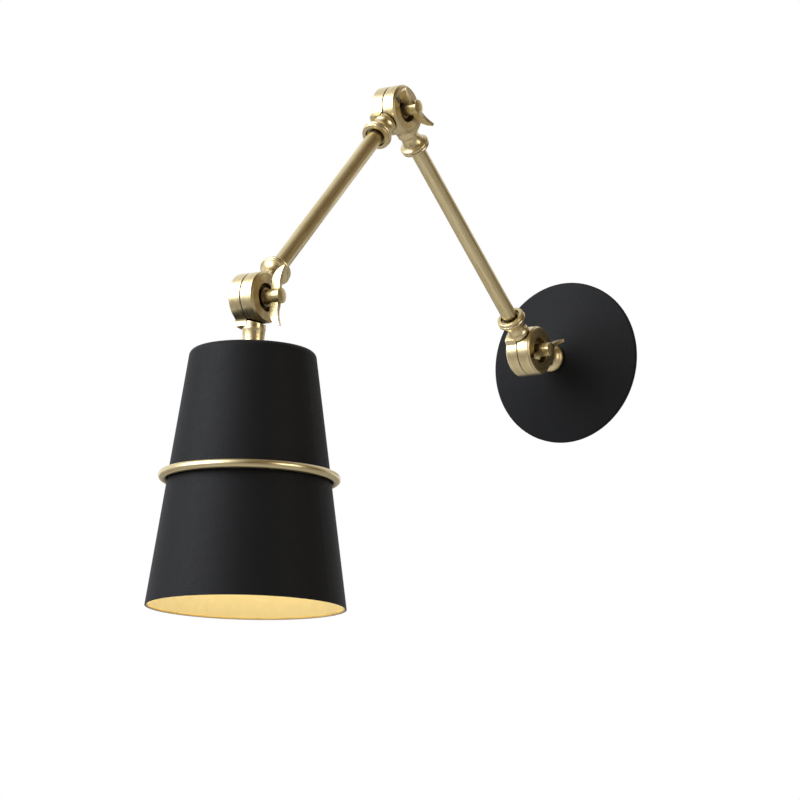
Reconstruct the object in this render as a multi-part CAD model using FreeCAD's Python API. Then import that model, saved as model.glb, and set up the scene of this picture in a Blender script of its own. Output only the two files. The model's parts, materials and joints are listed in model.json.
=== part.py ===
import FreeCAD, Part
import math
import os

# Accordion wall lamp: a black rose on the wall, two brass arms that fold on half-lap
# knuckles, and a black tapered shade with a brass hoop.
#
# Row frame, millimetres: the origin is the centre of the rose on the wall face, the lamp
# stands out along -Y, +X is to the right of someone facing the wall and +Z is up.
# Every joint axis is parallel to X.  Each arm, the stub and the shade are built in a frame
# of their own: its origin is the joint centre and its +Z runs along the shank.

# ---------------------------------------------------------------- pose in the photograph
wall_arm_rise = 37.5       # degrees above the horizontal, going out from the wall
front_arm_rise = -44.5     # degrees, so the front arm falls towards the head
shade_tilt = 1.2           # degrees that the shade's mouth leans away from the wall
wall_wing_turn = 62.0      # degrees of a wing from straight up, leaning to the wall
elbow_wing_turn = 116.0
head_wing_turn = 7.0

# ---------------------------------------------------------------- clearances
running_clearance = 0.08   # radial, between a turning screw and its hole
seat_clearance = 0.05      # between pieces that are screwed or brazed together
swing_clearance = 0.9      # between a shank's hollow end and the other half's rim
side_clearance = 0.05      # on each side of a friction disc or a washer

# ---------------------------------------------------------------- rose and wall plate
rose_diameter = 120.0
rose_height = 20.0
rose_skirt = 2.5
rose_edge_round = 1.2
rose_shoulder_round = 3.0
rose_top_diameter = 23.0
rose_wall = 1.2
plate_diameter = 104.0
plate_thickness = 1.5
plate_boss_rise = 6.5      # the pressed-up middle makes room for the rear nut
plate_boss_top = 25.0      # diameter of the flat on the boss
plate_boss_foot = 34.0     # diameter where the boss leaves the plate
slot_spacing = 70.0
slot_length = 12.0
slot_width = 5.0
cable_hole_offset = 29.0   # below the middle of the plate
cable_hole_diameter = 15.0
grommet_bore = 11.0
grommet_flange = 2.0       # how far the flange stands past the hole, and how thick it is
block_length = 24.0        # terminal block, three ways side by side
block_depth = 14.0
block_height = 7.5
block_offset = 19.0        # from the middle of the plate to the block's lower side
block_ways = 3
block_screw_diameter = 4.0
block_screw_inset = 3.6
block_entry_diameter = 3.4
earth_screw_offset = 27.0
earth_screw_diameter = 4.0
earth_head_diameter = 7.0
earth_head_height = 2.4
earth_head_crown = 1.2     # how much of that height is the rounded crown
earth_washer_diameter = 9.0
earth_washer_thickness = 0.8

# ---------------------------------------------------------------- hollow screwed nipples
nipple_diameter = 10.0
nipple_bore = 6.5
nipple_hold = 11.0         # length that goes into a brass socket
nipple_nut_flats = 14.0
nipple_nut_height = 4.0

# ---------------------------------------------------------------- knuckles
wall_knuckle_diameter = 35.4
arm_knuckle_diameter = 33.6
knuckle_half_width = 9.8   # from the parting plane to the outer face
parting_gap = 0.5          # between the two halves, filled by the friction disc
rim_break = 0.3            # small chamfer on the rim beside the gap
face_bevel = 1.4           # chamfer round the outer face
lug_width = 16.4           # flat web that carries the face on into the shank
lug_end = 19.9             # from the joint centre to the crown of the lug
lug_crown = 1.0            # how far that crown stands past the lug's corners
lug_corner = 3.0           # hollow corner between the disc and the lug
recess_diameter = 18.6     # counterbore that the wing screw or the nut sits in
recess_depth = 4.0
recess_break = 0.3
cable_cavity_inner = 10.6  # diameter of the boss round the screw
cable_cavity_outer = 22.8
cable_cavity_depth = 2.2
cable_channel_diameter = 6.0
friction_disc_inner = 24.0
friction_disc_inset = 1.2  # the disc's rim stays inside the knuckle's rim
friction_disc_thickness = 0.4

# ---------------------------------------------------------------- turned collars on the shanks
shank_start = 12.0         # where the shank leaves the cable cavity's wall
lip_diameter = 15.4
lip_end = 20.6             # distances are from the joint centre, along the shank
waist_diameter = 13.4
waist_at = 25.2
flare_diameter = 19.2
flare_end = 30.0
first_bead_diameter = 20.9
groove_diameter = 19.2
groove_at = 32.4
second_bead_diameter = 20.3
collar_rim_diameter = 18.0
collar_end = 34.8
collar_mouth_diameter = 14.6
collar_mouth_depth = 1.4
socket_depth = 13.0        # how far a tube goes into its collar
stub_length = 33.8         # from the wall joint to the top of the rose
stub_waist_diameter = 13.6
stub_waist_at = 25.0
stub_bead_start = 28.8
stub_bead_neck = 18.2      # diameter where the cove meets the bead
stub_bead_diameter = 20.8
stub_foot_diameter = 18.6
stem_length = 34.4         # from the head joint to the top of the shade
stem_waist_diameter = 14.0
stem_foot_diameter = 16.0

# ---------------------------------------------------------------- arms
arm_length = 230.0         # from joint to joint
tube_diameter = 11.0
tube_wall = 1.0

# ---------------------------------------------------------------- wing screws, washers, nuts
screw_diameter = 6.0
screw_end_inset = 0.3      # the screw stops just inside the far face
hub_diameter = 10.0
hub_reach = 9.3            # from the knuckle's face to the top of the hub
hub_dome = 0.7
elbow_packing = 0.9        # thicker washers lift these two wing screws
head_packing = 2.8
wing_root_thickness = 3.4
wing_tip_thickness = 2.2
wing_inner_reach = 0.9     # from the knuckle's face to the near edge of a wing
wing_outer_reach = 7.2
wing_straight = 11.2       # the near edge runs straight out this far from the axis
wing_shoulder_reach = 4.0  # then curves through here
wing_shoulder_radius = 17.4
wing_tip_reach = 9.4
wing_tip_radius = 20.0
wing_tip_flat = 0.5
wing_waist_reach = 7.6     # hollow in the far edge
wing_waist_radius = 15.0
washer_diameter = 12.4
washer_thickness = 1.0
nut_flats = 10.0
nut_height = 4.4
nut_pocket_depth = 1.4

# ---------------------------------------------------------------- shade and hoop
shade_top_diameter = 80.8
shade_mouth_diameter = 128.0
shade_height = 165.6
shade_wall = 1.0
shade_edge_round = 5.0
hoop_height = 82.4         # below the top of the shade
hoop_wire = 6.0
hoop_gap = 0.05            # between the wire and the shade
shade_washer_diameter = 20.0
shade_washer_thickness = 1.2

# ---------------------------------------------------------------- lamp holder and bulb
holder_neck_diameter = 16.0
holder_neck_length = 5.0
holder_diameter = 39.0
holder_cap_height = 18.0
holder_body_height = 34.0
holder_wall = 2.2
holder_floor = 4.0
holder_cap_thread = 8.0    # how far the nipple goes into the cap
liner_diameter = 29.4
liner_wall = 0.6
liner_height = 25.0
contact_diameter = 9.0
contact_height = 1.6
bulb_cap_diameter = 26.4
bulb_cap_height = 23.0
bulb_tip_diameter = 10.0
bulb_tip_height = 2.6
bulb_neck_diameter = 27.0
bulb_globe_diameter = 60.0
bulb_shoulder_round = 25.0 # hollow between the neck and the globe
bulb_length = 108.0        # from the tip contact to the end of the glass
bulb_glass_wall = 0.9

# ---------------------------------------------------------------- directions and joint centres
X_AXIS = FreeCAD.Vector(1, 0, 0)
Y_AXIS = FreeCAD.Vector(0, 1, 0)
Z_AXIS = FreeCAD.Vector(0, 0, 1)
ORIGIN = FreeCAD.Vector(0, 0, 0)

wall_arm_lean = 90.0 - wall_arm_rise
front_arm_lean = 90.0 - front_arm_rise
shade_lean = 180.0 - shade_tilt
rose_lean = 90.0
stub_lean = -90.0


def along(lean, distance):
    """Point at a distance along +Z after +Z is turned about X by the lean."""
    angle = math.radians(lean)
    return FreeCAD.Vector(0, -distance * math.sin(angle), distance * math.cos(angle))


wall_joint = FreeCAD.Vector(0, -(rose_height + stub_length), 0)
elbow_joint = wall_joint + along(wall_arm_lean, arm_length)
head_joint = elbow_joint + along(front_arm_lean, arm_length)


# ================================================================ drawing helpers
def rounded(before, corner, after, radius):
    """Outline steps that round a corner: the first tangent point, then the arc's
    middle and its last tangent point."""
    to_before = (before[0] - corner[0], before[1] - corner[1])
    to_after = (after[0] - corner[0], after[1] - corner[1])
    size_before = math.hypot(*to_before)
    size_after = math.hypot(*to_after)
    u = (to_before[0] / size_before, to_before[1] / size_before)
    v = (to_after[0] / size_after, to_after[1] / size_after)
    half_angle = math.acos(u[0] * v[0] + u[1] * v[1]) / 2
    tangent = radius / math.tan(half_angle)
    middle = (u[0] + v[0], u[1] + v[1])
    size_middle = math.hypot(*middle)
    reach = radius / math.sin(half_angle) - radius
    crown = (corner[0] + middle[0] / size_middle * reach, corner[1] + middle[1] / size_middle * reach)
    first = (corner[0] + u[0] * tangent, corner[1] + u[1] * tangent)
    last = (corner[0] + v[0] * tangent, corner[1] + v[1] * tangent)
    return [first, (crown, last)]


def outline(steps):
    """Face in the XZ plane.  A step is a point, or a pair of points for an arc that goes
    through the first and ends on the second."""
    edges = []
    here = steps[0]
    for step in steps[1:] + steps[:1]:
        if isinstance(step[0], tuple):
            via, end = step
            arc = Part.Arc(FreeCAD.Vector(here[0], 0, here[1]), FreeCAD.Vector(via[0], 0, via[1]),
                           FreeCAD.Vector(end[0], 0, end[1]))
            edges.append(arc.toShape())
        else:
            end = step
            edges.append(Part.makeLine(FreeCAD.Vector(here[0], 0, here[1]),
                                       FreeCAD.Vector(end[0], 0, end[1])))
        here = end
    return Part.Face(Part.Wire(edges))


def turned(steps):
    """Solid turned about Z from steps of (radius, height)."""
    return outline(steps).revolve(ORIGIN, Z_AXIS, 360)


def turned_on_x(steps):
    """Solid turned about X from steps of (radius, distance along X)."""
    solid = turned(steps)
    solid.rotate(ORIGIN, Y_AXIS, 90)
    return solid


def cap_arc(radius, base, top):
    """Outline step for a spherical cap: from the rim at the base's height to its crown
    on the axis."""
    rise = top - base
    sphere = (radius * radius + rise * rise) / (2 * rise)
    half_angle = math.asin(radius / sphere) / 2
    crown = (sphere * math.sin(half_angle), top - sphere + sphere * math.cos(half_angle))
    return (crown, (0, top))


def shoulder_arc(start, end):
    """Outline step for a round shoulder that widens from the start and runs upright
    into the end."""
    out = end[0] - start[0]
    up = end[1] - start[1]
    radius = (out * out + up * up) / (2 * out)
    half_angle = math.asin(up / radius) / 2
    crown = (end[0] - radius + radius * math.cos(half_angle), end[1] - radius * math.sin(half_angle))
    return (crown, end)


def rod(diameter, start, end):
    """Cylinder about Z from one height to another."""
    return Part.makeCylinder(diameter / 2, end - start, FreeCAD.Vector(0, 0, start))


def rod_on_x(diameter, start, end):
    """Cylinder about X from one place to another."""
    return Part.makeCylinder(diameter / 2, end - start, FreeCAD.Vector(start, 0, 0), X_AXIS)


def hexagon(flats, start, end):
    """Six-sided bar about Z, two flats square to Y."""
    corner = flats / math.sqrt(3)
    points = []
    for side in range(6):
        angle = math.radians(60 * side)
        points.append(FreeCAD.Vector(corner * math.cos(angle), corner * math.sin(angle), start))
    face = Part.Face(Part.makePolygon(points + points[:1]))
    return face.extrude(FreeCAD.Vector(0, 0, end - start))


def ring(outer, inner, start, end):
    """Flat ring or sleeve about Z."""
    return rod(outer, start, end).cut(rod(inner, start, end))


def placed(shape, lean, centre):
    """Copy of a shape turned about X and moved to its joint centre."""
    copy = shape.copy()
    copy.rotate(ORIGIN, X_AXIS, lean)
    copy.translate(centre)
    return copy


# ================================================================ knuckles
inner_face = parting_gap / 2
recess_floor = knuckle_half_width - recess_depth
screw_hole = screw_diameter + 2 * running_clearance
pocket_floor = recess_floor - nut_pocket_depth
socket_floor = collar_end - socket_depth
nipple_socket = nipple_diameter + 2 * seat_clearance


def keyhole(diameter):
    """Side view of a disc with its lug, as a face in the XZ plane: the round rim, two
    hollow corners, straight sides and a crowned end."""
    rim = diameter / 2
    half = lug_width / 2
    side_end = lug_end - lug_crown
    corner_height = math.sqrt((rim + lug_corner) ** 2 - (half + lug_corner) ** 2)
    lean = math.atan2(half + lug_corner, corner_height)
    touch = (rim * math.sin(lean), rim * math.cos(lean))
    half_lean = math.radians(45) - lean / 2
    hollow = (half + lug_corner * (1 - math.cos(half_lean)),
              corner_height - lug_corner * math.sin(half_lean))
    return outline([
        (half, side_end),
        ((0, lug_end), (-half, side_end)),
        (-half, corner_height),
        ((-hollow[0], hollow[1]), (-touch[0], touch[1])),
        ((0, -rim), touch),
        (hollow, (half, corner_height))])


def edges_at(solid, x):
    """Edges of a solid that lie in the plane across X at this place."""
    flat = []
    for edge in solid.Edges:
        box = edge.BoundBox
        if abs(box.XMin - x) < seat_clearance and abs(box.XMax - x) < seat_clearance:
            flat.append(edge)
    return flat


def knuckle_disc(diameter):
    """One half-lap disc about X with its lug: chamfered face and counterbore outside, a
    boss and a cable cavity inside."""
    face = knuckle_half_width
    slab = keyhole(diameter).extrude(FreeCAD.Vector(0, face - inner_face, 0))
    slab.rotate(ORIGIN, Z_AXIS, -90)
    slab.translate(FreeCAD.Vector(inner_face, 0, 0))
    slab = slab.makeChamfer(face_bevel, edges_at(slab, face))
    slab = slab.makeChamfer(rim_break, edges_at(slab, inner_face))
    recess = recess_diameter / 2
    counterbore = turned_on_x([
        (0, recess_floor),
        (recess, recess_floor),
        (recess, face - recess_break),
        (recess + recess_break, face),
        (0, face)])
    cavity_floor = inner_face + cable_cavity_depth
    cavity = rod_on_x(cable_cavity_outer, inner_face, cavity_floor)
    cavity = cavity.cut(rod_on_x(cable_cavity_inner, inner_face, cavity_floor))
    return slab.cut([counterbore, cavity, rod_on_x(screw_hole, inner_face, face)])


def knuckle_half(diameter, side, shank, socket_diameter, socket_start, nut_pocket):
    """Casting of one knuckle half with its turned shank along +Z.  Side is +1 for the
    half on +X and -1 for the other; the shank is hollowed round the other half's rim."""
    disc = knuckle_disc(diameter)
    if side < 0:
        disc = disc.mirror(ORIGIN, X_AXIS)
    swing = diameter + 2 * swing_clearance
    reach = knuckle_half_width + swing_clearance
    if side > 0:
        other_half = rod_on_x(swing, -reach, inner_face)
    else:
        other_half = rod_on_x(swing, -inner_face, reach)
    casting = disc.fuse(shank.cut(other_half))
    channel_start = (cable_cavity_inner + cable_cavity_outer) / 4
    channel = rod(cable_channel_diameter, channel_start, socket_start)
    channel = channel.cut(rod_on_x(2 * channel_start, -reach, reach))
    cavity_floor = inner_face + cable_cavity_depth
    throat_height = socket_start - channel_start
    throat = Part.makeBox(2 * cavity_floor, cable_channel_diameter, throat_height,
                          FreeCAD.Vector(-cavity_floor, -cable_channel_diameter / 2, channel_start))
    casting = casting.cut(channel.common(throat))
    casting = casting.cut(rod(socket_diameter, socket_start, shank.BoundBox.ZMax))
    if nut_pocket:
        pocket = hexagon(nut_flats + 2 * seat_clearance, pocket_floor, recess_floor)
        pocket.rotate(ORIGIN, Y_AXIS, 90 * side)
        casting = casting.cut(pocket)
    return casting.removeSplitter()


def collar_shank():
    """Turned collar that holds a tube: lip, cove, two beads and a mouth."""
    mouth = collar_mouth_diameter / 2
    return turned([
        (0, shank_start),
        (lip_diameter / 2, shank_start),
        (lip_diameter / 2, lip_end),
        ((waist_diameter / 2, waist_at), (flare_diameter / 2, flare_end)),
        ((first_bead_diameter / 2, (flare_end + groove_at) / 2), (groove_diameter / 2, groove_at)),
        ((second_bead_diameter / 2, (groove_at + collar_end) / 2), (collar_rim_diameter / 2, collar_end)),
        (mouth, collar_end),
        (mouth, collar_end - collar_mouth_depth),
        (0, collar_end - collar_mouth_depth)])


def stub_shank():
    """Shank that stands on the rose: lip, cove and one bead."""
    return turned([
        (0, shank_start),
        (lip_diameter / 2, shank_start),
        (lip_diameter / 2, lip_end),
        ((stub_waist_diameter / 2, stub_waist_at), (stub_bead_neck / 2, stub_bead_start)),
        ((stub_bead_diameter / 2, (stub_bead_start + stub_length) / 2),
         (stub_foot_diameter / 2, stub_length)),
        (0, stub_length)])


def stem_shank():
    """Short spool that stands on the shade."""
    return turned([
        (0, shank_start),
        (lip_diameter / 2, shank_start),
        (lip_diameter / 2, lip_end),
        ((stem_waist_diameter / 2, (lip_end + stem_length) / 2), (stem_foot_diameter / 2, stem_length)),
        (0, stem_length)])


def friction_disc(diameter):
    """Fibre ring between the two halves of a knuckle."""
    outer = diameter - 2 * friction_disc_inset
    half = friction_disc_thickness / 2
    return rod_on_x(outer, -half, half).cut(rod_on_x(friction_disc_inner, -half, half))


def face_washer(packing):
    """Washer on the recess floor, under the wing screw; packing makes it thicker."""
    top = recess_floor + washer_thickness + packing
    return rod_on_x(washer_diameter, recess_floor, top).cut(rod_on_x(screw_hole, recess_floor, top))


def pivot_nut():
    """Thin hexagon nut, let into the far half so that it can't turn."""
    base = pocket_floor + seat_clearance
    nut = hexagon(nut_flats, base, base + nut_height).cut(rod(screw_hole, base, base + nut_height))
    nut.rotate(ORIGIN, Y_AXIS, -90)
    return nut


def wing_blade():
    """One wing, standing along +Z: a straight near edge that curves out to the tip, a
    hollow far edge, and faces that thin towards the tip."""
    face = knuckle_half_width
    side_view = outline([
        (face + wing_inner_reach, 0),
        (face + wing_inner_reach, wing_straight),
        ((face + wing_shoulder_reach, wing_shoulder_radius),
         (face + wing_tip_reach - wing_tip_flat, wing_tip_radius)),
        (face + wing_tip_reach, wing_tip_radius),
        ((face + wing_waist_reach, wing_waist_radius),
         (face + wing_outer_reach, hub_diameter / 2)),
        (face + wing_outer_reach, 0)])
    blade = side_view.extrude(FreeCAD.Vector(0, wing_root_thickness, 0))
    blade.translate(FreeCAD.Vector(0, -wing_root_thickness / 2, 0))
    root = wing_root_thickness / 2
    tip = wing_tip_thickness / 2
    end_view = Part.Face(Part.makePolygon([
        FreeCAD.Vector(face, -root, 0),
        FreeCAD.Vector(face, root, 0),
        FreeCAD.Vector(face, tip, wing_tip_radius),
        FreeCAD.Vector(face, -tip, wing_tip_radius),
        FreeCAD.Vector(face, -root, 0)]))
    return blade.common(end_view.extrude(FreeCAD.Vector(wing_tip_reach, 0, 0)))


def wing_screw(packing):
    """Wing screw in one piece: threaded rod, hub with a domed top and two wings.  On
    thicker packing the rod is as much longer, so that it ends in the same place."""
    base = recess_floor + washer_thickness + packing + side_clearance
    top = knuckle_half_width + hub_reach + packing
    far_end = screw_end_inset - knuckle_half_width
    hub = hub_diameter / 2
    body = turned_on_x([
        (0, far_end),
        (screw_diameter / 2, far_end),
        (screw_diameter / 2, base),
        (hub, base),
        (hub, top - hub_dome),
        cap_arc(hub, top - hub_dome, top)])
    upper = wing_blade()
    upper.translate(FreeCAD.Vector(packing, 0, 0))
    lower = upper.copy()
    lower.rotate(ORIGIN, X_AXIS, 180)
    return body.fuse([upper, lower]).removeSplitter()


# ================================================================ wall mount
cone_slope = (rose_height - rose_skirt) / ((rose_diameter - rose_top_diameter) / 2)
cone_drop = rose_wall * math.hypot(1, cone_slope)
plate_boss_height = plate_boss_rise + plate_thickness


def rose():
    """Pressed shallow cone with a short skirt and a flat top with the nipple's hole."""
    rim = rose_diameter / 2
    top = rose_top_diameter / 2
    hole = nipple_socket / 2
    inner_rim = rim - rose_wall
    inner_top_height = rose_height - rose_wall
    inner_skirt = rose_skirt + rose_wall * cone_slope - cone_drop
    inner_top = rim - (inner_top_height + cone_drop - rose_skirt) / cone_slope
    inner_round = rose_shoulder_round - rose_wall
    return turned([
        (rim, 0),
        *rounded((rim, 0), (rim, rose_skirt), (top, rose_height), rose_edge_round),
        *rounded((rim, rose_skirt), (top, rose_height), (hole, rose_height), rose_shoulder_round),
        (hole, rose_height),
        (hole, inner_top_height),
        *rounded((hole, inner_top_height), (inner_top, inner_top_height), (inner_rim, inner_skirt),
                 inner_round),
        (inner_rim, inner_skirt),
        (inner_rim, 0)])


def slot(centre_x):
    """Cutter for one fixing slot, long along X."""
    straight = slot_length - slot_width
    cutter = Part.makeBox(straight, slot_width, plate_thickness,
                          FreeCAD.Vector(centre_x - straight / 2, -slot_width / 2, 0))
    for end in (-1, 1):
        round_end = rod(slot_width, 0, plate_thickness)
        round_end.translate(FreeCAD.Vector(centre_x + end * straight / 2, 0, 0))
        cutter = cutter.fuse(round_end)
    return cutter


def wall_plate():
    """Round pressed plate: raised boss for the nipple, two slots, a cable hole and the
    earth screw's hole."""
    boss_top = plate_boss_top / 2
    boss_foot = plate_boss_foot / 2
    plate = turned([
        (nipple_socket / 2, plate_boss_rise),
        (boss_top, plate_boss_rise),
        (boss_foot, 0),
        (plate_diameter / 2, 0),
        (plate_diameter / 2, plate_thickness),
        (boss_foot + plate_thickness / 2, plate_thickness),
        (boss_top + plate_thickness / 2, plate_boss_height),
        (nipple_socket / 2, plate_boss_height)])
    for side in (-1, 1):
        plate = plate.cut(slot(side * slot_spacing / 2))
    cable_hole = rod(cable_hole_diameter, 0, plate_thickness)
    cable_hole.translate(FreeCAD.Vector(0, -cable_hole_offset, 0))
    return plate.cut([cable_hole, earth_screw_hole()])


def earth_place():
    """Middle of the earth screw, on the plate's diagonal."""
    step = earth_screw_offset * math.sqrt(0.5)
    return FreeCAD.Vector(-step, -step, 0)


def earth_screw_hole():
    hole = rod(earth_screw_diameter + 2 * seat_clearance, 0, plate_thickness)
    hole.translate(earth_place())
    return hole


def earth_screw():
    """Pan-head screw with its washer, as one turned piece."""
    washer_top = plate_thickness + earth_washer_thickness
    head_top = washer_top + earth_head_height
    head = earth_head_diameter / 2
    screw = turned([
        (0, seat_clearance),
        (earth_screw_diameter / 2, seat_clearance),
        (earth_screw_diameter / 2, plate_thickness),
        (earth_washer_diameter / 2, plate_thickness),
        (earth_washer_diameter / 2, washer_top),
        (head, washer_top),
        (head, head_top - earth_head_crown),
        cap_arc(head, head_top - earth_head_crown, head_top)])
    screw.translate(earth_place())
    return screw


def cable_grommet():
    """Rubber bush in the plate's cable hole, with a flange on the front."""
    sleeve = cable_hole_diameter / 2 - seat_clearance
    flange = cable_hole_diameter / 2 + grommet_flange
    top = plate_thickness + grommet_flange
    bore = grommet_bore / 2
    bush = turned([
        (bore, 0),
        (sleeve, 0),
        (sleeve, plate_thickness),
        (flange, plate_thickness),
        *rounded((flange, plate_thickness), (flange, top), (bore, top), grommet_flange / 2),
        (bore, top)])
    bush.translate(FreeCAD.Vector(0, -cable_hole_offset, 0))
    return bush


def block_way_places():
    """Middles of the terminal block's ways along X."""
    pitch = block_length / block_ways
    first = -block_length / 2 + pitch / 2
    return [first + way * pitch for way in range(block_ways)]


def block_screw_places():
    """Both screws of each way."""
    places = []
    for x in block_way_places():
        for y in (block_offset + block_screw_inset, block_offset + block_depth - block_screw_inset):
            places.append(FreeCAD.Vector(x, y, 0))
    return places


block_top = plate_thickness + block_height
block_screw_floor = block_top - block_height / 3
block_screw_proud = 0.6    # each screw stops this far below the block's top


def terminal_block():
    """Moulded block with a wire entry through each way and a well for each screw."""
    block = Part.makeBox(block_length, block_depth, block_height,
                         FreeCAD.Vector(-block_length / 2, block_offset, plate_thickness))
    wells = []
    for place in block_screw_places():
        well = rod(block_screw_diameter + 2 * seat_clearance, block_screw_floor, block_top)
        well.translate(place)
        wells.append(well)
    for x in block_way_places():
        entry_height = plate_thickness + block_height / 3
        entry = Part.makeCylinder(block_entry_diameter / 2, block_depth,
                                  FreeCAD.Vector(x, block_offset, entry_height), Y_AXIS)
        wells.append(entry)
    return block.cut(wells)


def terminal_screws():
    """Slotted clamping screws, one in each well."""
    screws = []
    for place in block_screw_places():
        screw = rod(block_screw_diameter, block_screw_floor, block_top - block_screw_proud)
        kerf_depth = block_screw_proud
        kerf = Part.makeBox(block_screw_diameter, block_screw_proud, kerf_depth,
                            FreeCAD.Vector(-block_screw_diameter / 2, -block_screw_proud / 2,
                                           block_top - block_screw_proud - kerf_depth))
        screw = screw.cut(kerf)
        screw.translate(place)
        screws.append(screw)
    return Part.makeCompound(screws)


def wall_nipple():
    """Hollow screwed nipple from the plate's rear nut, through the rose, into the stub."""
    start = plate_boss_rise - nipple_nut_height - seat_clearance
    return ring(nipple_diameter, nipple_bore, start, rose_height + nipple_hold)


def nipple_nut(base):
    nut = hexagon(nipple_nut_flats, base, base + nipple_nut_height)
    return nut.cut(rod(nipple_socket, base, base + nipple_nut_height))


def wall_nipple_nuts():
    """The two nuts that hold the nipple, behind and in front of the plate's boss."""
    return Part.makeCompound([
        nipple_nut(plate_boss_rise - nipple_nut_height - seat_clearance),
        nipple_nut(plate_boss_height + seat_clearance)])


# ================================================================ arms
def arm_tube():
    """Drawn tube between the two collars of an arm."""
    start = socket_floor + seat_clearance
    return ring(tube_diameter, tube_diameter - 2 * tube_wall, start, arm_length - start)


def arm_end(diameter, side, nut_pocket):
    """Knuckle half with a collar, ready to take a tube."""
    return knuckle_half(diameter, side, collar_shank(), tube_diameter + 2 * seat_clearance,
                        socket_floor, nut_pocket)


def far_end(shape):
    """The same piece at the other end of an arm, its shank pointing back."""
    copy = shape.copy()
    copy.rotate(ORIGIN, X_AXIS, 180)
    copy.translate(FreeCAD.Vector(0, 0, arm_length))
    return copy


# ================================================================ head
shade_top = stem_length
shade_end = shade_top + shade_height
shade_slope = (shade_mouth_diameter - shade_top_diameter) / 2 / shade_height
shade_side_wall = shade_wall * math.hypot(1, shade_slope)
washer_start = shade_top + shade_wall
nut_start = washer_start + shade_washer_thickness
holder_start = nut_start + nipple_nut_height
holder_split = holder_start + holder_cap_height
holder_end = holder_split + holder_body_height
liner_start = holder_split + holder_floor
bulb_start = liner_start + contact_height
glass_start = bulb_start + bulb_tip_height + bulb_cap_height


def shade_radius(height):
    """Outer radius of the shade's side at a distance from the head joint."""
    return shade_top_diameter / 2 + shade_slope * (height - shade_top)


def shade():
    """Spun tapered shade with a rounded shoulder, a flat top and an open mouth."""
    top = shade_top_diameter / 2
    mouth = shade_mouth_diameter / 2
    hole = nipple_socket / 2
    inner_top = shade_radius(washer_start) - shade_side_wall
    inner_mouth = mouth - shade_side_wall
    return turned([
        (hole, shade_top),
        *rounded((hole, shade_top), (top, shade_top), (mouth, shade_end), shade_edge_round),
        (mouth, shade_end),
        (inner_mouth, shade_end),
        *rounded((inner_mouth, shade_end), (inner_top, washer_start), (hole, washer_start),
                 shade_edge_round - shade_wall),
        (hole, washer_start)])


def shade_hoop():
    """Round brass wire hoop that rests on the taper."""
    height = shade_top + hoop_height
    wire = hoop_wire / 2
    stand_off = (wire + hoop_gap) * math.hypot(1, shade_slope)
    return Part.makeTorus(shade_radius(height) + stand_off, wire, FreeCAD.Vector(0, 0, height))


def head_nipple():
    """Hollow screwed nipple from the stem, through the shade's top, into the holder."""
    return ring(nipple_diameter, nipple_bore, shade_top - nipple_hold,
                holder_start + holder_cap_thread)


def shade_washer():
    return ring(shade_washer_diameter, nipple_socket, washer_start, nut_start)


def shade_nut():
    return nipple_nut(nut_start)


def holder_cap():
    """Domed half of the lamp holder, screwed on the nipple."""
    neck = holder_neck_diameter / 2
    body = holder_diameter / 2
    shoulder = holder_start + holder_neck_length
    bore = nipple_socket / 2
    inner = body - holder_wall
    inner_top = shoulder + holder_wall
    hollow_crown, hollow_end = shoulder_arc((neck, inner_top), (inner, holder_split))
    return turned([
        (bore, holder_start),
        (neck, holder_start),
        (neck, shoulder),
        shoulder_arc((neck, shoulder), (body, holder_split)),
        hollow_end,
        (hollow_crown, (neck, inner_top)),
        (bore, inner_top)])


def holder_body():
    """Skirted half of the lamp holder; its floor carries the liner and the contact."""
    body = holder_diameter / 2
    inner = body - holder_wall
    start = holder_split + seat_clearance
    return turned([
        (0, start),
        (body, start),
        (body, holder_end - holder_wall),
        *rounded((body, holder_split), (body, holder_end), (inner, holder_end), holder_wall / 3),
        (inner, holder_end),
        (inner, liner_start),
        (0, liner_start)])


def holder_liner():
    """Screw shell of the lamp holder."""
    return ring(liner_diameter, liner_diameter - 2 * liner_wall, liner_start,
                liner_start + liner_height)


def holder_contact():
    """Centre contact on the holder's floor."""
    return rod(contact_diameter, liner_start, liner_start + contact_height)


def bulb_cap():
    """Screw cap of the bulb with its tip contact."""
    shell = bulb_cap_diameter / 2
    tip = bulb_tip_diameter / 2
    shoulder = bulb_start + bulb_tip_height
    return turned([
        (0, bulb_start),
        (tip, bulb_start),
        (shell, shoulder),
        (shell, glass_start),
        (0, glass_start)])


def glass_steps(offset):
    """Outline of the glass at an offset inside its outer skin: foot, neck, hollow
    shoulder and globe.  The shoulder touches the neck and the globe without a corner."""
    neck = bulb_neck_diameter / 2 - offset
    globe = bulb_globe_diameter / 2 - offset
    round_over = bulb_shoulder_round + offset
    centre = bulb_start + bulb_length - bulb_globe_diameter / 2
    reach = globe + round_over
    lean = math.asin((neck + round_over) / reach)
    round_height = centre - reach * math.cos(lean)
    touch = (globe * math.sin(lean), centre - globe * math.cos(lean))
    half_lean = lean / 2 + math.radians(45)
    hollow = (neck + round_over * (1 - math.sin(half_lean)), round_height + round_over * math.cos(half_lean))
    return [
        (0, glass_start + offset),
        (neck, glass_start + offset),
        (neck, round_height),
        (hollow, touch),
        ((globe, centre), (0, centre + globe))]


def bulb_glass():
    """Opal glass envelope, hollow, closed on the cap."""
    return turned(glass_steps(0)).cut(turned(glass_steps(bulb_glass_wall)))


# ================================================================ assembly
nodes = {}


def add(name, shape, lean, centre):
    nodes[name] = placed(shape, lean, centre)


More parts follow.
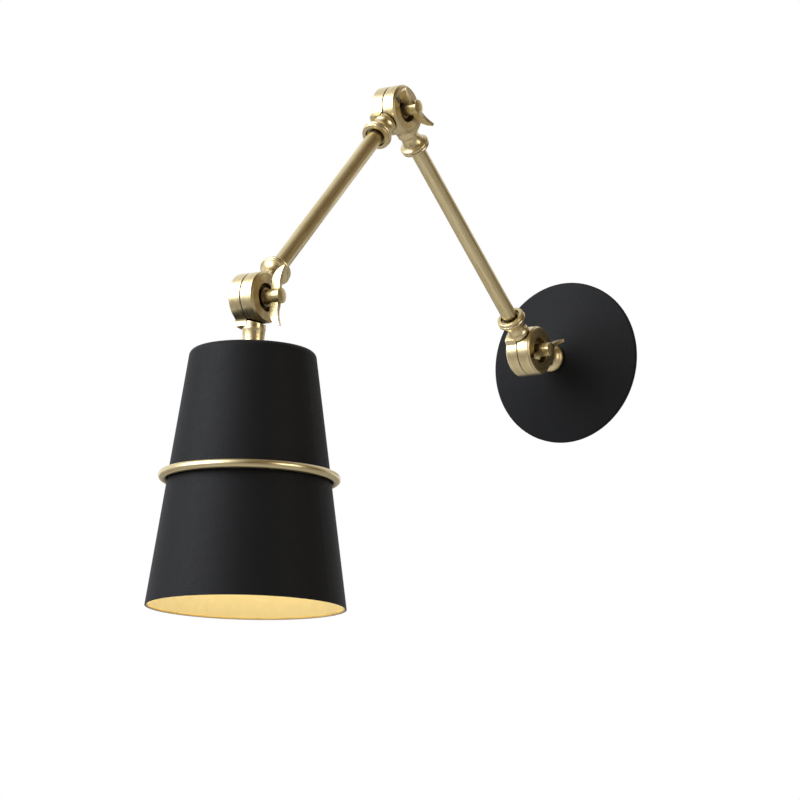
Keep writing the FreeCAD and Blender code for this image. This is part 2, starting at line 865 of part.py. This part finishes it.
def add_wall_mount():
    add("rose", rose(), rose_lean, ORIGIN)
    add("wall_plate", wall_plate(), rose_lean, ORIGIN)
    add("terminal_block", terminal_block(), rose_lean, ORIGIN)
    add("terminal_screws", terminal_screws(), rose_lean, ORIGIN)
    add("earth_screw", earth_screw(), rose_lean, ORIGIN)
    add("cable_grommet", cable_grommet(), rose_lean, ORIGIN)
    add("wall_nipple", wall_nipple(), rose_lean, ORIGIN)
    add("wall_nipple_nuts", wall_nipple_nuts(), rose_lean, ORIGIN)
    stub = knuckle_half(wall_knuckle_diameter, 1, stub_shank(), nipple_socket,
                        stub_length - nipple_hold - seat_clearance, False)
    add("wall_stub", stub, stub_lean, wall_joint)


def add_joint_hardware(name, diameter, centre, nut_lean, wing_turn, packing):
    """Friction disc, washer, nut and wing screw of one knuckle."""
    add(name + "_friction_disc", friction_disc(diameter), 0, centre)
    add(name + "_washer", face_washer(packing), 0, centre)
    add(name + "_pivot_nut", pivot_nut(), nut_lean, centre)
    add(name + "_wing_screw", wing_screw(packing), -wing_turn, centre)


def add_arms():
    add("wall_arm_tube", arm_tube(), wall_arm_lean, wall_joint)
    add("wall_arm_inner_knuckle", arm_end(wall_knuckle_diameter, -1, True), wall_arm_lean, wall_joint)
    add("wall_arm_outer_knuckle", far_end(arm_end(arm_knuckle_diameter, 1, False)), wall_arm_lean,
        wall_joint)
    add("front_arm_tube", arm_tube(), front_arm_lean, elbow_joint)
    add("front_arm_inner_knuckle", arm_end(arm_knuckle_diameter, -1, True), front_arm_lean,
        elbow_joint)
    add("front_arm_outer_knuckle", far_end(arm_end(arm_knuckle_diameter, 1, False)),
        front_arm_lean, elbow_joint)


def add_head():
    stem = knuckle_half(arm_knuckle_diameter, -1, stem_shank(), nipple_socket,
                        stem_length - nipple_hold - seat_clearance, True)
    add("head_stem", stem, shade_lean, head_joint)
    add("head_nipple", head_nipple(), shade_lean, head_joint)
    add("shade", shade(), shade_lean, head_joint)
    add("shade_hoop", shade_hoop(), shade_lean, head_joint)
    add("shade_washer", shade_washer(), shade_lean, head_joint)
    add("shade_nut", shade_nut(), shade_lean, head_joint)
    add("holder_cap", holder_cap(), shade_lean, head_joint)
    add("holder_body", holder_body(), shade_lean, head_joint)
    add("holder_liner", holder_liner(), shade_lean, head_joint)
    add("holder_contact", holder_contact(), shade_lean, head_joint)
    add("bulb_cap", bulb_cap(), shade_lean, head_joint)
    add("bulb_glass", bulb_glass(), shade_lean, head_joint)


add_wall_mount()
add_arms()
add_joint_hardware("wall", wall_knuckle_diameter, wall_joint, wall_arm_lean, wall_wing_turn, 0)
add_joint_hardware("elbow", arm_knuckle_diameter, elbow_joint, front_arm_lean, elbow_wing_turn,
                   elbow_packing)
add_joint_hardware("head", arm_knuckle_diameter, head_joint, shade_lean, head_wing_turn, head_packing)
add_head()

os.makedirs("parts", exist_ok=True)
for name, shape in nodes.items():
    shape.exportStep("parts/" + name + ".step")
    print(name, "solids", len(shape.Solids), "valid", shape.isValid(), "volume", round(shape.Volume, 1))
print("nodes", len(nodes))
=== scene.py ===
# %% [markdown]
# # Accordion wall lamp
# A black rose stands on the wall. Two brass arms fold on half-lap knuckles, each clamped by
# a wing screw, and carry a black tapered shade with a brass hoop. The solids come ready made
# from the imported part, so this lesson is about finish: how brushed brass, powder coat and
# enamel are made on the real lamp, and how each is told to the eye.

# %% Load the part
import json
import math

import bpy
import numpy as np
from mathutils import Matrix, Vector


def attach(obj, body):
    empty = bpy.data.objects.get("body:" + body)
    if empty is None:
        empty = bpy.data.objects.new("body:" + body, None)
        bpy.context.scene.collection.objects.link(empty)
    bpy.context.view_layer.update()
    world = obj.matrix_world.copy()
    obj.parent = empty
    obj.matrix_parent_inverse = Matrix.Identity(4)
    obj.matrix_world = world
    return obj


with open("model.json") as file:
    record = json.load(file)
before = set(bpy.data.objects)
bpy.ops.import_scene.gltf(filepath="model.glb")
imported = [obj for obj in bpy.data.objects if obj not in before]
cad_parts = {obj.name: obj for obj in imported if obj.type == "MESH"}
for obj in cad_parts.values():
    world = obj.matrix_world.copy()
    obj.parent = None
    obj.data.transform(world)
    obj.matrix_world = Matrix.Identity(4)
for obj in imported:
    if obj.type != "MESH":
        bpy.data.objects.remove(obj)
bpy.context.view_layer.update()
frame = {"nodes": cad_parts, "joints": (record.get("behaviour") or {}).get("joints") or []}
nodes = frame["nodes"]
scene = bpy.context.scene
scene.view_settings.view_transform = "Standard"

# %% [markdown]
# ## Camera
# The photograph was taken with a long lens, a little below the lamp and to its right, so the
# shade's mouth is seen from underneath. The lens and the place were worked out from the
# outlines of the shade, the rose and the knuckles. A long lens from far away keeps the
# ellipses of the shade nearly parallel, which a wide lens from close by would not.

# %% Camera
def millimetres(value):
    """Metres from millimetres."""
    return value / 1000.0


FOCAL_PIXELS = 3403.46
PICTURE_PIXELS = 800
SENSOR = 36.0
turn = math.radians(32.83)
rise = math.radians(-9.654)
roll = math.radians(-0.549)
back = Vector((math.sin(turn) * math.cos(rise), -math.cos(turn) * math.cos(rise), math.sin(rise)))
level = Vector((math.cos(turn), math.sin(turn), 0))
upright = back.cross(level)
side = math.cos(roll) * level - math.sin(roll) * upright
top = math.sin(roll) * level + math.cos(roll) * upright
place = (-millimetres(122.908) * level - millimetres(28.783) * upright
         + millimetres(2525.23) * back)
camera_data = bpy.data.cameras.new("camera")
camera_data.sensor_width = SENSOR
camera_data.lens = FOCAL_PIXELS / PICTURE_PIXELS * SENSOR
camera_data.clip_end = 20
camera = bpy.data.objects.new("camera", camera_data)
scene.collection.objects.link(camera)
camera.matrix_world = Matrix((
    (side.x, top.x, back.x, place.x),
    (side.y, top.y, back.y, place.y),
    (side.z, top.z, back.z, place.z),
    (0, 0, 0, 1)))
scene.camera = camera
print("lens", round(camera_data.lens, 2), "mm, camera at", [round(c, 3) for c in place])

# %% [markdown]
# ## Joint centres and directions
# Turned brass shows its finish as lines round the axis that it was turned on. The finish
# needs to know each piece's axis, so the joint centres and the directions of the arms are
# written down here once.

# %% Joint centres
joint_place = {joint["name"]: Vector(joint["pos_m"]) for joint in frame["joints"]}
wall_joint = joint_place["wall_pivot"]
elbow_joint = joint_place["elbow_pivot"]
head_joint = joint_place["head_pivot"]
STUB_LEAN = -90.0
WALL_ARM_LEAN = 52.5
FRONT_ARM_LEAN = 134.5
SHADE_LEAN = 178.8

# %% [markdown]
# ## Small tools for materials
# Colours are picked as sRGB hex values, the numbers that a picture shows, while the renderer
# works in linear light. One function turns the first into the second. Another adds a node
# with its settings and its links in one line, so that each material reads like a recipe. The
# few nodes that come back in every finish have a short function of their own.

# %% Colour and node helpers
def linear(hex_colour):
    """Linear RGBA from an sRGB hex colour: the straight foot below 0.04045, and the
    2.4 power curve above it."""
    srgb = np.array([int(hex_colour[i:i + 2], 16) for i in (0, 2, 4)]) / 255.0
    light = np.where(srgb <= 0.04045, srgb / 12.92, ((srgb + 0.055) / 1.055) ** 2.4)
    return (*light.tolist(), 1.0)


def add(tree, kind, inputs=None, **settings):
    """New node in a tree. Settings are attributes; an input is a value or a socket to link."""
    node = tree.nodes.new(kind)
    for name, value in settings.items():
        setattr(node, name, value)
    for socket, value in (inputs or {}).items():
        if isinstance(value, bpy.types.NodeSocket):
            tree.links.new(value, node.inputs[socket])
        else:
            node.inputs[socket].default_value = value
    return node


def start_material(name):
    """Empty material with a Principled shader wired to its output, and its node tree."""
    material = bpy.data.materials.new(name)
    material.use_nodes = True
    tree = material.node_tree
    shader = tree.nodes["Principled BSDF"]
    return material, tree, shader


def colour_mix(tree, factor, first, second):
    """Colour output that mixes two colours, given as hex values, colours or sockets."""
    inputs = {0: factor}
    for slot, value in ((6, first), (7, second)):
        inputs[slot] = linear(value) if isinstance(value, str) else value
    return add(tree, "ShaderNodeMix", inputs, data_type="RGBA").outputs[2]


def grains_per_metre(size_mm):
    """Noise scale at which one grain is about this many millimetres across."""
    return 1000.0 / size_mm


def noise(tree, place, grain_mm, detail=2.0, roughness=0.5):
    """Noise value with grains of this size."""
    inputs = {"Vector": place, "Scale": grains_per_metre(grain_mm), "Detail": detail,
              "Roughness": roughness}
    return add(tree, "ShaderNodeTexNoise", inputs).outputs[0]


def calculate(tree, operation, *values):
    """Output of one arithmetic node on values or sockets."""
    return add(tree, "ShaderNodeMath", dict(enumerate(values)), operation=operation).outputs[0]


def stretch(tree, value, start, end, low=0.0, high=1.0):
    """Value that runs from low to high while the given one runs from start to end."""
    limits = {0: value, 1: start, 2: end, 3: low, 4: high}
    return add(tree, "ShaderNodeMapRange", limits).outputs[0]


def raise_surface(tree, height, strength, depth_mm):
    """Normal of a surface that a pattern raises by this depth."""
    inputs = {"Height": height, "Strength": strength, "Distance": millimetres(depth_mm)}
    return add(tree, "ShaderNodeBump", inputs).outputs[0]


def connect(tree, shader, colour, rough, normal):
    """Link a colour, a roughness and a normal to a shader."""
    for name, value in (("Base Color", colour), ("Roughness", rough), ("Normal", normal)):
        tree.links.new(value, shader.inputs[name])


def dress(names, material):
    """Give solids of the part this material in place of the plain one."""
    for name in names:
        nodes[name].data.materials.clear()
        nodes[name].data.materials.append(material)


print("white in linear light", linear("FFFFFF"))

# %% [markdown]
# ## Satin brass
# Solid brass, turned on a lathe, brushed with a fine belt and lacquered. Brushing leaves
# hair-thin rings round the turning axis: they spread each highlight sideways into a soft
# broad band, which is what tells the eye satin and not mirror. In corners and recesses,
# found by ambient occlusion, the colour is painted dark brown as shade.
#
# The rings are noise on two coordinates that are constant along a ring: the place along the
# axis and the distance from it. A knuckle has two axes, the pivot for its drum and the arm
# for its shank, so the material changes over where the drum ends. Real brush lines are
# about 0.1 mm apart, too fine to show at this size, so they are drawn 0.5 and 1.6 mm wide.
# The lines on a drawn tube run along it and stand out much less.

# %% Satin brass
BRASS_LIGHT = "F0E0B4"
BRASS_DARK = "CFBA82"
# Dark brown painted into corners and recesses as shade.
CORNER_SHADE_BROWN = "4C3A19"
LINE_MM = 1.6
HAIR_MM = 0.5
BLOTCH_MM = 14
CORNER_SHADE_MM = 5
LINE_RELIEF_MM = 0.08
TURNED_STRENGTH = 0.45
DRAWN_STRENGTH = 0.12
DRUM_MARGIN = millimetres(0.4)
STREAK = 0.02


def local_position(tree, centre, lean):
    """Position seen from a joint: moved to its centre and turned back by the lean about X,
    so that Z runs along the shank."""
    place = add(tree, "ShaderNodeTexCoord").outputs["Object"]
    moved = add(tree, "ShaderNodeVectorMath", {0: place, 1: tuple(centre)}, operation="SUBTRACT")
    turned = add(tree, "ShaderNodeMapping", {"Vector": moved.outputs[0],
                                             "Rotation": (math.radians(-lean), 0, 0)})
    return turned.outputs[0]


def distance_from_axis(tree, position, across):
    """Length of the part of a position that lies across an axis."""
    flat = add(tree, "ShaderNodeVectorMath", {0: position, 1: across}, operation="MULTIPLY")
    length = add(tree, "ShaderNodeVectorMath", {0: flat.outputs[0]}, operation="LENGTH")
    return length.outputs["Value"]


def brass_finish(tree, shader, lines, position, strength):
    """Colour, roughness and bump of brushed brass from the coordinates of its lines, with shade
    painted dark brown into corners; the strength is how far they stand out."""
    coarse = noise(tree, lines, LINE_MM)
    fine = noise(tree, lines, HAIR_MM)
    blotch = noise(tree, position, BLOTCH_MM, 3.0)
    spread = stretch(tree, calculate(tree, "ADD", coarse, fine), 0.86, 1.14)
    tone = stretch(tree, blotch, 0.35, 0.65, 0.45, 0.90)
    grain = calculate(tree, "MULTIPLY", spread, tone)
    clean = colour_mix(tree, grain, BRASS_LIGHT, BRASS_DARK)
    # Painted shade: the brass turns dark brown where ambient occlusion finds corners and
    # recesses.
    corner_shade_occlusion = add(tree, "ShaderNodeAmbientOcclusion", {"Distance": millimetres(CORNER_SHADE_MM)},
                  samples=8)
    reach = stretch(tree, corner_shade_occlusion.outputs["AO"], 0.25, 0.85)
    connect(tree, shader, colour_mix(tree, reach, CORNER_SHADE_BROWN, clean),
            stretch(tree, spread, 0.0, 1.0, 0.26, 0.40),
            raise_surface(tree, coarse, strength, LINE_RELIEF_MM))
    shader.inputs["Metallic"].default_value = 1.0


def turned_brass(name, centre, lean, drum_radius):
    """Brass whose lines run round the pivot inside the drum's radius, and round the shank
    beyond it."""
    material, tree, shader = start_material(name)
    position = local_position(tree, centre, lean)
    parts = add(tree, "ShaderNodeSeparateXYZ", {0: position}).outputs
    from_pivot = distance_from_axis(tree, position, (0, 1, 1))
    from_shank = distance_from_axis(tree, position, (1, 1, 0))
    on_drum = add(tree, "ShaderNodeCombineXYZ", {0: parts[0], 1: from_pivot}).outputs[0]
    on_shank = add(tree, "ShaderNodeCombineXYZ", {0: from_shank, 1: parts[2]}).outputs[0]
    beyond = calculate(tree, "GREATER_THAN", from_pivot, drum_radius + DRUM_MARGIN)
    lines = add(tree, "ShaderNodeMix", {0: beyond, 4: on_drum, 5: on_shank},
                data_type="VECTOR").outputs[1]
    brass_finish(tree, shader, lines, position, TURNED_STRENGTH)
    return material


def drawn_brass(name, centre, lean):
    """Brass with its lines along the shank's axis, as on a drawn tube: the noise changes
    fifty times slower along the axis than across it."""
    material, tree, shader = start_material(name)
    position = local_position(tree, centre, lean)
    lines = add(tree, "ShaderNodeVectorMath", {0: position, 1: (1, 1, STREAK)},
                operation="MULTIPLY").outputs[0]
    brass_finish(tree, shader, lines, position, DRAWN_STRENGTH)
    return material


WALL_DRUM = millimetres(17.7)
ARM_DRUM = millimetres(16.8)
NO_DRUM = 0.0
turned_pieces = (
    ("wall_stub", "stub", wall_joint, STUB_LEAN, WALL_DRUM),
    ("wall_arm_inner_knuckle", "wall_arm_inner", wall_joint, WALL_ARM_LEAN, WALL_DRUM),
    ("wall_arm_outer_knuckle", "wall_arm_outer", elbow_joint, WALL_ARM_LEAN, ARM_DRUM),
    ("front_arm_inner_knuckle", "front_arm_inner", elbow_joint, FRONT_ARM_LEAN, ARM_DRUM),
    ("front_arm_outer_knuckle", "front_arm_outer", head_joint, FRONT_ARM_LEAN, ARM_DRUM),
    ("head_stem", "stem", head_joint, SHADE_LEAN, ARM_DRUM),
    ("shade_hoop", "hoop", head_joint, SHADE_LEAN, NO_DRUM),
)
for piece, name, centre, lean, drum in turned_pieces:
    dress([piece], turned_brass("satin_brass_" + name, centre, lean, drum))
for piece, centre, lean in (("wall_arm_tube", wall_joint, WALL_ARM_LEAN),
                            ("front_arm_tube", elbow_joint, FRONT_ARM_LEAN)):
    dress([piece], drawn_brass("satin_brass_" + piece, centre, lean))
for joint, centre in (("wall", wall_joint), ("elbow", elbow_joint), ("head", head_joint)):
    hardware = turned_brass("satin_brass_" + joint + "_hardware", centre, 0.0, ARM_DRUM)
    dress([joint + "_wing_screw", joint + "_washer", joint + "_pivot_nut"], hardware)
print("turned brass pieces", len(turned_pieces), "with 2 tubes and 3 sets of hardware")

# %% [markdown]
# ## Powder coat and enamel
# The rose and the outside of the shade are steel, sprayed with black powder that melts in an
# oven into a matt film with a very fine orange peel. Inside, the shade is sprayed with warm
# white enamel, which sends the bulb's light down. Both are on one piece of metal, so one
# material looks up where it is: further in than most of the wall means inside, measured
# from the middle of the rounded shoulder so that the corner is right too. A second object
# for the inner coat would lie on the first and flicker with it.

# %% Powder coat on the rose
COAT_LIGHT = "151618"
COAT_DARK = "101113"
COAT_SPECULAR = 0.20
PEEL_MM = 1.4
CLOUD_MM = 9


def coat_film(tree, position):
    """Colour, roughness and bump of powder coat: an orange peel, drawn about twice as
    coarse as the real one so that it shows, and a wider, cloudier tone."""
    peel = noise(tree, position, PEEL_MM, 3.0, 0.6)
    cloud = noise(tree, position, CLOUD_MM)
    colour = colour_mix(tree, cloud, COAT_DARK, COAT_LIGHT)
    rough = stretch(tree, peel, 0.3, 0.7, 0.56, 0.68)
    return colour, rough, raise_surface(tree, peel, 0.25, 0.12)


rose_coat, tree, shader = start_material("black_powder_coat")
connect(tree, shader, *coat_film(tree, add(tree, "ShaderNodeTexCoord").outputs["Object"]))
shader.inputs["Specular IOR Level"].default_value = COAT_SPECULAR
dress(["rose"], rose_coat)
print("rose coated")

# %% Powder coat outside and enamel inside the shade
SHADE_TOP = millimetres(34.4)
SHADE_HEIGHT = millimetres(165.6)
SHADE_TOP_RADIUS = millimetres(40.4)
SHADE_MOUTH_RADIUS = millimetres(64.0)
SHADE_WALL = millimetres(1.0)
SHADE_ROUND = millimetres(5.0)
SHADE_SLOPE = (SHADE_MOUTH_RADIUS - SHADE_TOP_RADIUS) / SHADE_HEIGHT
ENAMEL = "F6EBD3"
ENAMEL_SHADOW = "EBDDBE"
ENAMEL_GRAIN_MM = 5.0
COAT_SHARE = 0.8

shade_coat, tree, shader = start_material("powder_coat_and_enamel")
position = local_position(tree, head_joint, SHADE_LEAN)
along_axis = add(tree, "ShaderNodeSeparateXYZ", {0: position}).outputs[2]
radius = distance_from_axis(tree, position, (1, 1, 0))
shoulder = SHADE_TOP + SHADE_ROUND
side_start = SHADE_TOP_RADIUS - SHADE_SLOPE * SHADE_TOP - SHADE_ROUND * math.hypot(1, SHADE_SLOPE)
side_here = calculate(tree, "MULTIPLY_ADD", along_axis, SHADE_SLOPE, side_start)
out = calculate(tree, "MAXIMUM", calculate(tree, "SUBTRACT", radius, side_here), 0.0)
up = calculate(tree, "MAXIMUM", calculate(tree, "SUBTRACT", shoulder, along_axis), 0.0)
corner = add(tree, "ShaderNodeCombineXYZ", {0: out, 1: up}).outputs[0]
reach = add(tree, "ShaderNodeVectorMath", {0: corner}, operation="LENGTH").outputs["Value"]
inside = calculate(tree, "LESS_THAN", reach, SHADE_ROUND - COAT_SHARE * SHADE_WALL)
colour, rough, bump = coat_film(tree, position)
enamel = colour_mix(tree, noise(tree, position, ENAMEL_GRAIN_MM), ENAMEL, ENAMEL_SHADOW)
connect(tree, shader, colour_mix(tree, inside, colour, enamel), rough, bump)
shader.inputs["Specular IOR Level"].default_value = COAT_SPECULAR
dress(["shade"], shade_coat)
print("shade slope", round(SHADE_SLOPE, 4))

# %% [markdown]
# ## A recipe for grained surfaces
# Most of the other finishes differ only in colour, shine and grain: enamel, zinc plate,
# moulded plastic, rubber, fibre. Flat colours read as toys, so each gets a noise of its own
# grain size that shifts the colour, the roughness and the surface a little.

# %% Recipe for a grained surface
def grained(name, light, dark, grain_mm, rough, metallic, relief_mm):
    """Material with noise of one grain size: the colour runs from light to dark, the
    roughness between its two values, and the surface rises by the relief."""
    material, tree, shader = start_material(name)
    place = add(tree, "ShaderNodeTexCoord").outputs["Object"]
    grain = noise(tree, place, grain_mm, 3.0)
    even = stretch(tree, grain, 0.3, 0.7)
    connect(tree, shader, colour_mix(tree, even, light, dark),
            stretch(tree, grain, 0.3, 0.7, *rough),
            raise_surface(tree, grain, 0.3, relief_mm))
    shader.inputs["Metallic"].default_value = metallic
    return material


print("recipe ready")

# %% [markdown]
# ## Rolled hem of the shade
# A spun shade is too thin to leave its edge sharp, so the spinner rolls a narrow hem inwards
# at the mouth. The spray lies thicker on it, and its yellow is painted warm light from the
# bulb. It could be a curve with a round bevel, but a worked-out surface keeps its seam closed
# and its faces outwards: a small circle of points is carried round the mouth.

# %% Rolled hem
def mesh_piece(name, points, faces, material):
    """Object at the origin with a mesh made from arrays of points and quads, shaded smooth."""
    mesh = bpy.data.meshes.new(name)
    mesh.from_pydata(points.tolist(), [], faces.tolist())
    mesh.polygons.foreach_set("use_smooth", np.ones(len(faces), bool))
    mesh.materials.append(material)
    mesh.update()
    piece = bpy.data.objects.new(name, mesh)
    scene.collection.objects.link(piece)
    return piece


def closed_grid(rounds, steps):
    """Quads of a grid that closes both ways; point (i, j) is number i * steps + j."""
    i, j = np.meshgrid(np.arange(rounds), np.arange(steps), indexing="ij")
    i_next = (i + 1) % rounds
    j_next = (j + 1) % steps
    quads = np.stack([i * steps + j, i_next * steps + j,
                      i_next * steps + j_next, i * steps + j_next], -1)
    return quads.reshape(-1, 4)


def from_shade(points):
    """Row places of points given in the shade's frame: turned by the lean about X, then
    moved to the head's joint."""
    lean = math.radians(SHADE_LEAN)
    x, y, z = points[..., 0], points[..., 1], points[..., 2]
    turned = np.stack([x, y * math.cos(lean) - z * math.sin(lean),
                       y * math.sin(lean) + z * math.cos(lean)], -1)
    return turned + np.array(head_joint)


def hem_points(mouth_radius, height, roll_radius, rounds, steps):
    """A circle of the roll's radius, carried round the mouth: distance from the axis is the
    mouth's radius plus the roll's radius times the cosine of the second angle, and the
    height is the roll's radius times its sine."""
    around = np.linspace(0, 2 * np.pi, rounds, endpoint=False)[:, None]
    across = np.linspace(0, 2 * np.pi, steps, endpoint=False)[None, :]
    distance = mouth_radius + roll_radius * np.cos(across)
    return np.stack([distance * np.cos(around), distance * np.sin(around),
                     height + roll_radius * np.sin(across) + 0 * around], -1).reshape(-1, 3)


HEM_ROLL = millimetres(0.45)
HEM_ROUNDS = 192
HEM_STEPS = 14
hem_radius = SHADE_MOUTH_RADIUS - SHADE_WALL - 0.8 * HEM_ROLL
hem_height = SHADE_TOP + SHADE_HEIGHT - 1.5 * HEM_ROLL
hem_shape = hem_points(hem_radius, hem_height, HEM_ROLL, HEM_ROUNDS, HEM_STEPS)
# Painted light: the hem's yellow stands in for the bulb's warm light on it.
hem_painted_warm_light = grained("enamel_painted_warm_light", "EBCF95", "DFBF80", ENAMEL_GRAIN_MM, (0.45, 0.55),
                     0.0, 0.03)
hem_faces = closed_grid(HEM_ROUNDS, HEM_STEPS)
hem = mesh_piece("shade_hem", from_shade(hem_shape), hem_faces, hem_painted_warm_light)
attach(hem, "lamp_head")
print("hem faces", len(hem.data.polygons))

# %% [markdown]
# ## Small parts
# Inside the rose and the shade are the parts that nobody looks at until the lamp is wired:
# zinc-plated steel, moulded plastic, rubber, vulcanised fibre and the nickel-plated cap of
# the bulb. They are named for what they are and share the recipe above.

# %% Small parts of metal, plastic, rubber and fibre
# Zinc plate, passivated: pale bluish grey with a soft spangle.
zinc = grained("zinc_plated_steel", "C9CDD2", "AEB3B9", 2.5, (0.32, 0.44), 1.0, 0.03)
# Lacquer-free brass stamping, brighter and yellower than the satin arms.
stamping = grained("bright_brass_stamping", "E3C27A", "D2AE62", 1.5, (0.18, 0.28), 1.0, 0.02)
# Nickel plate over a brass shell: warm grey and nearly polished.
nickel = grained("nickel_plate", "D8D4CC", "C4BFB6", 1.5, (0.20, 0.30), 1.0, 0.02)
# Phenolic moulding: deep brown-black with a soft shine.
phenolic = grained("black_phenolic_moulding", "1C1A19", "242120", 0.8, (0.30, 0.40), 0.0, 0.02)
# Urea moulding: warm white and slightly chalky.
urea = grained("white_urea_moulding", "EDEAE0", "E2DED2", 0.8, (0.38, 0.48), 0.0, 0.03)
# Rubber bush: dull black with bloom.
rubber = grained("black_rubber", "262626", "303030", 1.2, (0.68, 0.82), 0.0, 0.06)
# Vulcanised fibre: red-brown pressed paper.
fibre = grained("vulcanised_fibre", "4A3426", "382619", 1.0, (0.60, 0.75), 0.0, 0.05)
small_parts = {
    zinc: ("wall_plate", "terminal_screws", "wall_nipple", "wall_nipple_nuts", "head_nipple",
           "shade_washer", "shade_nut"),
    stamping: ("earth_screw", "holder_liner", "holder_contact"),
    nickel: ("bulb_cap",),
    phenolic: ("holder_cap", "holder_body"),
    urea: ("terminal_block",),
    rubber: ("cable_grommet",),
    fibre: ("wall_friction_disc", "elbow_friction_disc", "head_friction_disc"),
}
for material, names in small_parts.items():
    dress(names, material)
print("small parts", sum(len(names) for names in small_parts.values()))

# %% [markdown]
# ## Lit bulb
# The globe is opal glass, a clear bulb coated inside with white powder, so the filament's
# light leaves evenly from its whole skin. The glow is set on the glass itself and lights the
# enamel by bouncing, as in the real shade. Its yellow is no measured lamp colour: it was
# chosen so that the enamel takes the honey colour that the photograph shows in the mouth.

# %% Opal glass
GLOW = "FFF3A8"
GLOW_STRENGTH = 3.0

opal = grained("opal_glass", "FFF8EC", "FBF1E0", 6.0, (0.18, 0.26), 0.0, 0.02)
shader = opal.node_tree.nodes["Principled BSDF"]
shader.inputs["Emission Color"].default_value = linear(GLOW)
shader.inputs["Emission Strength"].default_value = GLOW_STRENGTH
dress(["bulb_glass"], opal)
print("bulb glows at", GLOW_STRENGTH)

# %% [markdown]
# ## Studio
# The photograph is a cut-out on pure white, lit by a large soft light from the left and a
# weaker one from the right. Camera and transmission rays see a white world, and metal mirrors
# the same white where the paper and the wall stand. What lights the lamp and shines in the
# brass is a plain room: white paper behind the lamp, a white wall on the left, and a dim warm
# room on the camera's side. Brass shows its surroundings, and with white on all sides it
# would look like paint. Cool light and warm shade are what make it look like metal.

# %% World
WARM_ROOM = "624F2B"
WHITE_WALL = "F2F6FF"

world = bpy.data.worlds.new("studio")
scene.world = world
world.use_nodes = True
tree = world.node_tree
tree.nodes.clear()
direction = add(tree, "ShaderNodeTexCoord").outputs["Generated"]
behind = (-1.0 * back - 0.15 * level + 0.1 * upright).normalized()
beside = (-0.85 * level + 0.15 * back + 0.45 * upright).normalized()
walls = []
for centre, start, end in ((behind, 0.15, 1.1), (beside, 0.45, 1.1)):
    facing = add(tree, "ShaderNodeVectorMath", {0: direction, 1: tuple(centre)},
                 operation="DOT_PRODUCT").outputs["Value"]
    walls.append(stretch(tree, facing, start, end))
shine = calculate(tree, "MAXIMUM", *walls)
studio = colour_mix(tree, shine, WARM_ROOM, WHITE_WALL)
sky = add(tree, "ShaderNodeBackground", {"Color": studio, "Strength": 1.0}).outputs[0]
paper = add(tree, "ShaderNodeBackground", {"Color": (1, 1, 1, 1), "Strength": 1.0}).outputs[0]
ray = add(tree, "ShaderNodeLightPath").outputs
mirrored = calculate(tree, "MULTIPLY", ray["Is Glossy Ray"], shine)
seen = calculate(tree, "MAXIMUM", ray["Is Camera Ray"], ray["Is Transmission Ray"])
seen = calculate(tree, "MAXIMUM", seen, mirrored)
mixed = add(tree, "ShaderNodeMixShader", {0: seen, 1: sky, 2: paper}).outputs[0]
add(tree, "ShaderNodeOutputWorld", {"Surface": mixed})
print("sky is bright behind", [round(c, 2) for c in behind])
print("and beside", [round(c, 2) for c in beside])

# %% Lamps
middle = Vector((0, -0.25, 0))


def soft_box(name, place, size, power, colour):
    """Square area light at a place, aimed at the middle of the arms."""
    light = bpy.data.lights.new(name, "AREA")
    light.size = size
    light.energy = power
    light.color = linear(colour)[:3]
    lamp = bpy.data.objects.new(name, light)
    lamp.location = place
    lamp.rotation_euler = (middle - place).to_track_quat("-Z", "Y").to_euler()
    scene.collection.objects.link(lamp)
    return lamp


lamps = [
    soft_box("key", middle - 1.5 * level + 0.6 * back + 1.0 * upright,
             size=1.6, power=38, colour="F6F8FF"),
    soft_box("fill", middle + 1.2 * level + 1.0 * back + 0.5 * upright,
             size=0.9, power=6, colour="FFFDF8"),
]
print("lamps", len(lamps))

# %% [markdown]
# ## Floor
# A pale floor far below keeps the light honest: it sends a little light back up under the
# shade. It is lifted towards white for the camera alone, and it is clear from below, so that
# the lamp can also be looked at from under it.

# %% Floor
def floor_grid(size, height):
    """Square of two by two points at a height."""
    half = size / 2
    corners = np.array([(-half, -half), (half, -half), (half, half), (-half, half)])
    return np.column_stack([corners, np.full(4, height)])


FLOOR_SIZE = 40.0
FLOOR_HEIGHT = -1.6
FLOOR_LIFT = 0.94
paint = grained("pale_floor_paint", "E6E5E2", "E0DFDB", 3.0, (0.6, 0.7), 0.0, 0.05)
tree = paint.node_tree
surface = tree.nodes["Principled BSDF"].outputs[0]
light_path = add(tree, "ShaderNodeLightPath").outputs
lift = calculate(tree, "MULTIPLY", light_path["Is Camera Ray"], FLOOR_LIFT)
white = add(tree, "ShaderNodeEmission", {"Color": (1, 1, 1, 1), "Strength": 1.0}).outputs[0]
pale = add(tree, "ShaderNodeMixShader", {0: lift, 1: surface, 2: white}).outputs[0]
clear = add(tree, "ShaderNodeBsdfTransparent").outputs[0]
under = add(tree, "ShaderNodeNewGeometry").outputs["Backfacing"]
both = add(tree, "ShaderNodeMixShader", {0: under, 1: pale, 2: clear}).outputs[0]
tree.links.new(both, tree.nodes["Material Output"].inputs["Surface"])
floor_shape = floor_grid(FLOOR_SIZE, FLOOR_HEIGHT)
floor = mesh_piece("floor", floor_shape, np.array([[0, 1, 2, 3]]), paint)
print("floor at", floor.data.vertices[0].co.z)
